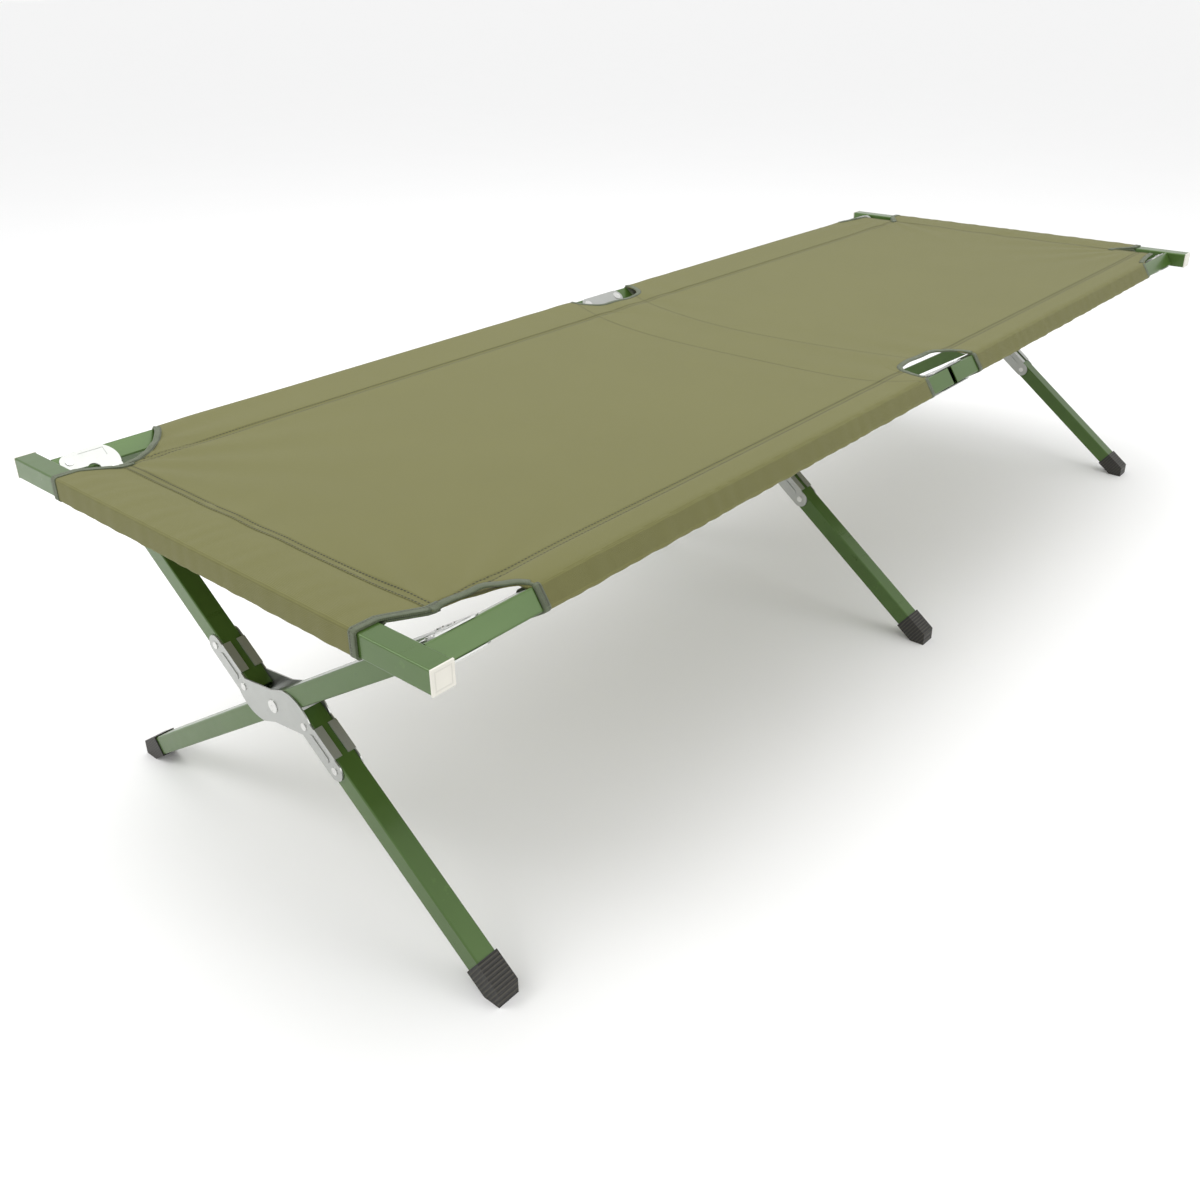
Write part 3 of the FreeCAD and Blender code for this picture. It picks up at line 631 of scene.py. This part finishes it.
def cut_out_tapes(material):
    """Edge tape round the corner cut-outs and the hinge cut-outs, split where the surface is."""
    hem_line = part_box("hem_foot")[0][0]
    for side in OUTWARD:
        front, rear = SLEEVE_SPANS["front"], SLEEVE_SPANS["rear"]
        runs = [
            ("front", "corner", -hem_line, front[0] + 0.002, 0.0045 if side == "right" else 0.0012),
            ("front", "hinge", front[1] - 0.002, FOLD_LINES[0], 0.0),
            ("middle", "hinge", *FOLD_LINES, 0.0),
            ("rear", "hinge", FOLD_LINES[1], rear[0] + 0.002, 0.0),
            ("rear", "corner", rear[1] - 0.002, hem_line, 0.0012),
        ]
        for part, place, start, end, wave in runs:
            path, inward = edge_path(part, side, start, end, wave)
            piece = swept_tape(f"tape_{part}_{place}_{side}", path, inward, material)
            hang_with(piece, part, side)


def rounded_square(half, corner, count=10):
    """Points round a square with rounded corners, as arcs about four centres."""
    points = []
    for quarter in range(4):
        angle = math.radians(90 * quarter) + np.linspace(0, math.pi / 2, count)
        base = math.radians(45 + 90 * quarter)
        centre = (half - corner) * math.sqrt(2) * np.array([math.cos(base), math.sin(base)])
        points.append(centre + corner * np.stack([np.cos(angle), np.sin(angle)], axis=-1))
    return np.concatenate(points)


def pipe_shell(name, outer, inner, uv, material):
    """A closed pipe wall between an outer and an inner grid of points (stations, ring, 3)."""
    count, ring = outer.shape[:2]
    total = count * ring
    wall = grid_faces(count, ring, wrap=True)
    lining = wall[:, ::-1] + total
    rims = []
    for row in (0, count - 1):
        number = row * ring + np.arange(ring)
        after = np.roll(number, -1)
        rims.append(np.stack([number, after, after + total, number + total], axis=-1))
    points = np.concatenate([outer.reshape(-1, 3), inner.reshape(-1, 3)])
    places = np.concatenate([uv.reshape(-1, 2)] * 2)
    piece = make_piece(name, points, np.concatenate([wall, lining, *rims]), places, material, flat=2 * ring)
    face_outwards(piece)
    return piece


def sleeve_piece(half, side, material, tape):
    """A sleeve: a rounded square carried along the rail, loose enough to ripple, with taped ends."""
    centre = RAILS[side]
    out, square = rail_axes(side)
    start, end = SLEEVE_SPANS[half]
    places = np.linspace(start, end, 150)
    snug = HALF_TUBE + SNUG_ROOM
    ring = rounded_square(snug + CLOTH, 0.0042)
    lining = rounded_square(snug, 0.0030)
    angle = np.arctan2(ring[:, 1], ring[:, 0])
    run = places[:, None]
    ripple = 0.00055 * np.sin(run * 61.0 + 2.0 * np.sin(run * 23.0) + angle[None, :] * 2)
    ripple += 0.0004 * np.sin(run * 147.0 - angle[None, :] * 3)
    ripple = np.abs(ripple) * np.clip(np.sin((run - start) / (end - start) * math.pi) * 6, 0, 1)

    def carried(section, swell):
        """The section at each place along the rail, swollen about the rail's centre."""
        scale = 1 + swell / HALF_TUBE
        local = section[None, :, :] * scale[:, :, None]
        y = centre[1] + local[..., 0] * out[0] + local[..., 1] * square[0]
        z = centre[2] + local[..., 0] * out[1] + local[..., 1] * square[1]
        x = np.broadcast_to(places[:, None], y.shape)
        return np.stack([x, y, z], axis=-1)

    outer = carried(ring, ripple)
    inner = carried(lining, np.zeros_like(ripple))
    around = np.concatenate([[0.0], np.cumsum(np.linalg.norm(np.diff(ring, axis=0), axis=1))])
    uv = np.stack(np.broadcast_arrays(places[:, None], around[None, :]), axis=-1)
    piece = pipe_shell(f"canvas_sleeve_{half}_{side}", outer, inner, uv, material)
    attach(piece, BODIES[half, side])
    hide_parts(f"sleeve_{half}_{side}")
    band = rounded_square(snug + CLOTH + TAPE_RISE, 0.0046)
    for place, name, inwards in ((start, "start", 1), (end, "end", -1)):
        places = np.linspace(place - inwards * TAPE_RISE, place + inwards * SLEEVE_TAPE, 7)
        swell = np.zeros((len(places), 1))
        swell[[0, -1]] = -0.0006
        outer = carried(band, swell)
        inner = carried(lining, np.zeros_like(swell))
        uv = np.stack(np.broadcast_arrays(around[None, :], places[:, None] - place), axis=-1)
        edge = pipe_shell(f"tape_sleeve_{half}_{side}_{name}", outer, inner, uv, tape)
        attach(edge, BODIES[half, side])


def hem_section():
    """The three arcs of a hem's section in X and Z round a bar, and its reach from the bar's centre."""
    reach = HALF_TUBE + SNUG_ROOM + CLOTH / 2
    corner = 0.0026
    arc = np.linspace(0, math.pi / 2, 6)
    inside = reach - corner
    top_outer = np.stack([-inside - corner * np.sin(arc), inside + corner * np.cos(arc)], axis=-1)
    low_outer = np.stack([-inside - corner * np.cos(arc), -inside - corner * np.sin(arc)], axis=-1)
    low_inner = np.stack([inside + corner * np.sin(arc), -inside - corner * np.cos(arc)], axis=-1)
    return top_outer, low_outer, low_inner, reach


def hem_piece(end, material, tape):
    """A hem: its section line is given a thickness, then carried across the cot with soft ripples."""
    sign = -1.0 if end == "head" else 1.0
    bar = middle(f"{end}_bar")
    seam = abs(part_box(f"hem_{end}")[1 if end == "head" else 0][0])
    top_outer, low_outer, low_inner, reach = hem_section()
    to_seam = abs(bar[0]) - seam
    run_in = to_seam + TONGUE_TUCK
    tongue_x = np.linspace(run_in, -reach + 0.006, 12)
    tongue = np.stack([tongue_x, np.full(12, reach)], axis=-1)
    back_up = np.stack([np.full(6, reach), np.linspace(-reach + 0.005, reach - 0.0068, 6)], axis=-1)
    under = np.stack([np.linspace(reach + 0.004, run_in - 0.004, 8), np.full(8, reach - 0.0022)], axis=-1)
    line = np.concatenate([tongue, top_outer, low_outer, low_inner, back_up, under])
    step = np.gradient(line, axis=0)
    normal = np.stack([-step[:, 1], step[:, 0]], axis=-1)
    normal /= np.linalg.norm(normal, axis=1, keepdims=True)
    side = abs(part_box(f"hem_{end}")[1][1])
    places = np.linspace(-side, side, 130)
    ripple = 0.0005 * np.sin(places * 71.0 + 2 * np.sin(places * 19.0)) + 0.0003 * np.sin(places * 173.0)
    half = "front" if end == "head" else "rear"
    towards_seam = np.clip((line[:, 0] - reach) / (to_seam - reach), 0.0, 1.0)

    def carried(places, offset):
        """The section line, moved off its middle, at each place; the tongue narrows or widens to the seam."""
        offset = np.broadcast_to(offset, (len(places), len(line)))
        section = line[None, :, :] + normal[None, :, :] * offset[:, :, None]
        x = bar[0] - sign * section[..., 0]
        z = bar[2] + section[..., 1]
        target = np.where(places > 0, CORNER_SIDE[half, "left"], CORNER_SIDE[half, "right"]) - 0.003
        y = places[:, None] * (1 + (target / side - 1)[:, None] * towards_seam[None, :])
        return np.stack([x, y, z], axis=-1)

    outer = carried(places, -CLOTH / 2 - np.abs(ripple)[:, None] * (1 - towards_seam)[None, :])
    inner = carried(places, CLOTH / 2)
    for layer in (outer, inner):
        tongue_part = layer[:, : len(tongue)]
        level = surface_level(tongue_part[..., 0], tongue_part[..., 1])
        tucked = smooth_step(np.broadcast_to(tongue_x, level.shape), reach * 0.6, run_in - 0.012)
        tongue_part[..., 2] += (level - COVER_TOP - 0.0004) * tucked
    around = np.concatenate([[0.0], np.cumsum(np.linalg.norm(np.diff(line, axis=0), axis=1))])
    uv = np.stack(np.broadcast_arrays(places[:, None], around[None, :]), axis=-1)
    piece = cloth_shell(f"canvas_hem_{end}", outer, inner, uv, material)
    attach(piece, f"{end}_bar")
    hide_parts(f"hem_{end}")
    for sense in (-1, 1):
        band_places = np.linspace(side - 0.0085, side + 0.0008, 6) * sense
        band_outer = carried(band_places, -CLOTH / 2 - 0.0009)
        band_inner = carried(band_places, CLOTH / 2 + 0.0001)
        uv = np.stack(np.broadcast_arrays(around[None, :], band_places[:, None] - sense * side), axis=-1)
        name = "left" if sense > 0 else "right"
        edge = cloth_shell(f"tape_hem_{end}_{name}", band_outer, band_inner, uv, tape)
        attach(edge, f"{end}_bar")


# Settings that a user would change.


def shade_property(name, description, default):
    return bpy.props.FloatVectorProperty(
        name=name, description=description, default=default, subtype="COLOR", min=0.0, max=1.0, size=3
    )


class CotFinishSettings(bpy.types.PropertyGroup):
    """Colours of the cot's metal, plastic and rubber."""

    enamel: shade_property("Enamel", "Green of the tubes", (0.048, 0.098, 0.016))
    pressed: shade_property("Pressed plate", "Colour of corner, link and crossing plates", (0.43, 0.44, 0.42))
    steel: shade_property("Rivets", "Colour of rivets, pins and studs", (0.72, 0.72, 0.70))
    cap: shade_property("Caps", "Colour of the end bars' caps", (0.66, 0.64, 0.57))
    rubber: shade_property("Rubber", "Colour of the feet", (0.014, 0.013, 0.011))
    rubber_worn: shade_property("Worn rubber", "Dust on the ridges of the feet", (0.10, 0.09, 0.065))


class CotClothSettings(bpy.types.PropertyGroup):
    """Colours of the cot's canvas."""

    canvas: shade_property("Canvas", "Khaki of the cloth", (0.150, 0.147, 0.049))
    thread: shade_property("Thread", "Colour of the stitches", (0.022, 0.022, 0.009))
    tape: shade_property("Edge tape", "Colour of the tape round the cut-outs", (0.075, 0.095, 0.048))
    tape_pale: shade_property("Tape picks", "Pale picks in the tape", (0.19, 0.22, 0.14))


# How far the frame slides across the lens, as shares of its width.
FRAME_SLIDE = (-0.0066, -0.0605)


class CotStudioSettings(bpy.types.PropertyGroup):
    """Camera, floor and light."""

    eye: bpy.props.FloatVectorProperty(
        name="Eye",
        description="Place of the camera",
        default=(-1.505, -1.0045, 0.9598),
        subtype="XYZ",
        unit="LENGTH",
    )
    heading: bpy.props.FloatProperty(
        name="Heading",
        description="Turn of the view from +X",
        default=0.7129,
        subtype="ANGLE",
        unit="ROTATION",
    )
    dip: bpy.props.FloatProperty(
        name="Dip",
        description="How far the view looks down",
        default=0.4421,
        subtype="ANGLE",
        unit="ROTATION",
    )
    roll: bpy.props.FloatProperty(
        name="Roll", description="Lean of the camera", default=-0.0121, subtype="ANGLE", unit="ROTATION"
    )
    lens: bpy.props.FloatProperty(
        name="Lens", description="Focal length in millimetres", default=35.23, min=1.0
    )
    floor_shade: shade_property("Floor", "Colour of the floor", (0.93, 0.93, 0.93))
    room_light: bpy.props.FloatProperty(
        name="Room light", description="Strength of the even light", default=0.98
    )


SLOT_FINISHES = {
    "green_tube": enamel_finish,
    "pressed_plate": pressed_finish,
    "rivet_steel": rivet_finish,
    "bar_cap": cap_finish,
    "nylon_plug": plug_finish,
    "rubber_foot": rubber_finish,
}


class COT_OT_metalwork(bpy.types.Operator):
    """Give every tube, plate, rivet, cap and foot its finish"""

    bl_idname = "cot.metalwork"
    bl_label = "Finish the Metalwork"

    def execute(self, context):
        settings = context.scene.cot_finishes
        finishes = {slot: make(settings) for slot, make in SLOT_FINISHES.items()}
        for part in frame["record"]["subparts"]:
            slot = part["material_slot"]
            if slot not in finishes:
                continue
            for material_slot in frame["nodes"][part["node"]].material_slots:
                material_slot.material = finishes[slot]
        return {"FINISHED"}


def cloth_material(context, kind):
    """A cloth material by kind, made the first time it is asked for."""
    settings = context.scene.cot_cloth
    makers = {
        "edge_tape": lambda: tape_finish(settings),
        "surface_canvas": lambda: canvas_finish(settings, "surface_canvas", surface_seams),
        "plain_canvas": lambda: canvas_finish(settings, "plain_canvas", None),
    }
    return bpy.data.materials.get(kind) or makers[kind]()


class COT_OT_lying_surface(bpy.types.Operator):
    """Stretch the canvas between the rails, in halves and three stretches"""

    bl_idname = "cot.lying_surface"
    bl_label = "Make the Lying Surface"

    def execute(self, context):
        material = cloth_material(context, "surface_canvas")
        for part in HALVES:
            for side in OUTWARD:
                cover_piece(part, side, material)
        return {"FINISHED"}


class COT_OT_edge_tapes(bpy.types.Operator):
    """Bind the corner and hinge cut-outs with woven tape"""

    bl_idname = "cot.edge_tapes"
    bl_label = "Bind the Cut-outs"

    def execute(self, context):
        cut_out_tapes(cloth_material(context, "edge_tape"))
        return {"FINISHED"}


class COT_OT_sleeves(bpy.types.Operator):
    """Wrap a canvas sleeve round each rail half"""

    bl_idname = "cot.sleeves"
    bl_label = "Make the Sleeves"

    def execute(self, context):
        for half in SLEEVE_SPANS:
            for side in OUTWARD:
                sleeve_piece(
                    half, side, cloth_material(context, "plain_canvas"), cloth_material(context, "edge_tape")
                )
        return {"FINISHED"}


class COT_OT_hems(bpy.types.Operator):
    """Wrap a hem round each end bar"""

    bl_idname = "cot.hems"
    bl_label = "Make the Hems"

    def execute(self, context):
        for end in ("head", "foot"):
            hem_piece(end, cloth_material(context, "plain_canvas"), cloth_material(context, "edge_tape"))
        return {"FINISHED"}


class COT_OT_studio(bpy.types.Operator):
    """Set up the floor, the light and the camera"""

    bl_idname = "cot.studio"
    bl_label = "Set Up the Studio"

    def execute(self, context):
        settings = context.scene.cot_studio
        self.add_floor(settings)
        self.add_light(context, settings)
        self.add_camera(context, settings)
        return {"FINISHED"}

    def add_floor(self, settings):
        """A wide square on the floor plane."""
        reach = 60.0
        corners = [(-reach, -reach), (reach, -reach), (reach, reach), (-reach, reach)]
        mesh = bpy.data.meshes.new("studio_floor")
        mesh.from_pydata([(x, y, FLOOR_LEVEL) for x, y in corners], [], [(0, 1, 2, 3)])
        finish = Finish("studio_floor", Roughness=0.6, Specular_IOR_Level=0.2)
        speck = finish.noise(3.0, 2.0)
        shade = settings.floor_shade
        finish.feed("Base Color", finish.blend(speck, colour(shade, 0.99), colour(shade)))
        mesh.materials.append(finish.material)
        floor = bpy.data.objects.new("studio_floor", mesh)
        bpy.context.scene.collection.objects.link(floor)

    def add_light(self, context, settings):
        """An even pale room and large soft lamps above and beside the cot."""
        world = bpy.data.worlds.new("studio_room")
        world.use_nodes = True
        background = world.node_tree.nodes["Background"]
        background.inputs["Color"].default_value = (1.0, 1.0, 1.0, 1.0)
        background.inputs["Strength"].default_value = settings.room_light
        context.scene.world = world
        lamps = (
            ("overhead", (0.2, 0.3, 3.2), 2.6, 42.0),
            ("left_front", (-2.6, 1.6, 2.2), 1.6, 26.0),
            ("right_side", (0.6, -3.0, 1.8), 1.8, 20.0),
        )
        target = Vector((0.0, 0.0, 0.3))
        for name, place, size, power in lamps:
            lamp = bpy.data.lights.new(name, "AREA")
            lamp.size = size
            lamp.energy = power
            lamp.specular_factor = 0.3
            holder = bpy.data.objects.new(name, lamp)
            holder.location = place
            holder.rotation_euler = (target - Vector(place)).to_track_quat("-Z", "Y").to_euler()
            context.scene.collection.objects.link(holder)

    def add_camera(self, context, settings):
        """A level view along its heading, dipped and rolled, with the frame slid to fit the cot."""
        heading, dip, roll = settings.heading, settings.dip, settings.roll
        forward = Vector(
            (math.cos(heading) * math.cos(dip), math.sin(heading) * math.cos(dip), -math.sin(dip))
        )
        level = Vector((math.sin(heading), -math.cos(heading), 0.0))
        upright = level.cross(forward)
        right = math.cos(roll) * level + math.sin(roll) * upright
        up = math.cos(roll) * upright - math.sin(roll) * level
        data = bpy.data.cameras.new("cot_camera")
        data.sensor_width = 36.0
        data.lens = settings.lens
        data.shift_x, data.shift_y = FRAME_SLIDE
        camera = bpy.data.objects.new("cot_camera", data)
        camera.location = settings.eye
        camera.rotation_euler = Matrix((right, up, -forward)).transposed().to_euler()
        context.scene.collection.objects.link(camera)
        context.scene.camera = camera
        context.scene.view_settings.view_transform = "Standard"


OPERATORS = (
    COT_OT_studio,
    COT_OT_metalwork,
    COT_OT_lying_surface,
    COT_OT_edge_tapes,
    COT_OT_sleeves,
    COT_OT_hems,
)
SETTINGS = {"cot_finishes": CotFinishSettings, "cot_cloth": CotClothSettings, "cot_studio": CotStudioSettings}


class COT_PT_panel(bpy.types.Panel):
    """The cot's steps and settings"""

    bl_idname = "COT_PT_panel"
    bl_label = "Folding Cot"
    bl_space_type = "VIEW_3D"
    bl_region_type = "UI"
    bl_category = "Cot"

    def draw(self, context):
        for operator in OPERATORS:
            self.layout.operator(operator.bl_idname)
        for name, group in SETTINGS.items():
            box = self.layout.box()
            for field in group.__annotations__:
                box.prop(getattr(context.scene, name), field)


def register():
    for group in SETTINGS.values():
        bpy.utils.register_class(group)
    for operator in OPERATORS:
        bpy.utils.register_class(operator)
    bpy.utils.register_class(COT_PT_panel)
    for name, group in SETTINGS.items():
        setattr(bpy.types.Scene, name, bpy.props.PointerProperty(type=group))


def unregister():
    for name in SETTINGS:
        delattr(bpy.types.Scene, name)
    bpy.utils.unregister_class(COT_PT_panel)
    for operator in reversed(OPERATORS):
        bpy.utils.unregister_class(operator)
    for group in SETTINGS.values():
        bpy.utils.unregister_class(group)


def main():
    register()
    for operator in OPERATORS:
        group, name = operator.bl_idname.split(".")
        getattr(getattr(bpy.ops, group), name)()


if __name__ == "__main__":
    main()
